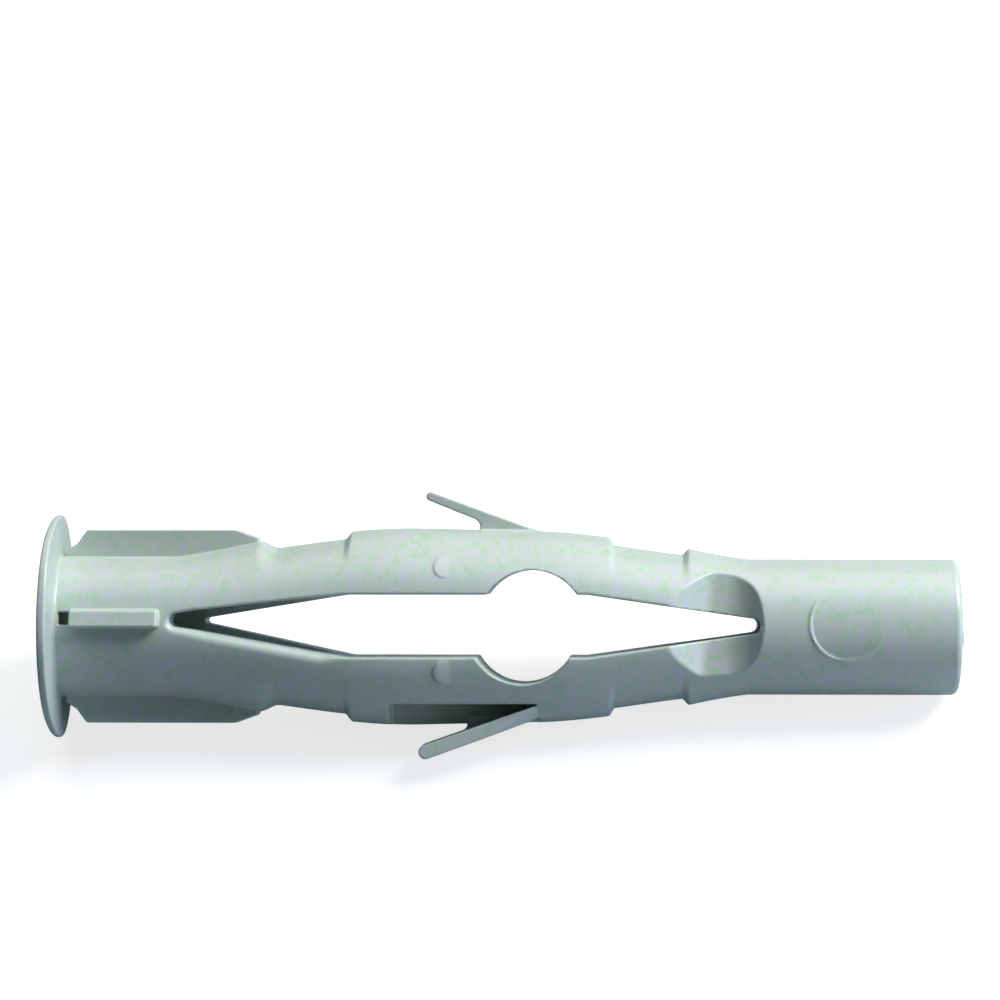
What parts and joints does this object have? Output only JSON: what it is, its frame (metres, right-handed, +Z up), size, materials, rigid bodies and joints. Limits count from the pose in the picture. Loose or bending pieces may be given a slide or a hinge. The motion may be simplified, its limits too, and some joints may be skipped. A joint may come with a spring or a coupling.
{
  "type": "nylon wall plug",
  "caption": "One-piece nylon expansion plug for a masonry hole: thin collar, anti-turn fins, split bowed legs with barbs, and a round nose.",
  "frame": {"origin": "on the surface that the plug lies on, under the middle of its bounding box", "axes": "+X runs from the collar to the nose, +Y is level across the plug, +Z is up from the surface; it lies rolled over onto the tip of one barb"},
  "size_m": [0.0504, 0.0142, 0.0123],
  "materials": {
    "nylon": "satin grey-green nylon, faintly mottled"
  },
  "bodies": {
    "root": {"wall_plug": "nylon"}
  },
  "joints": []
}
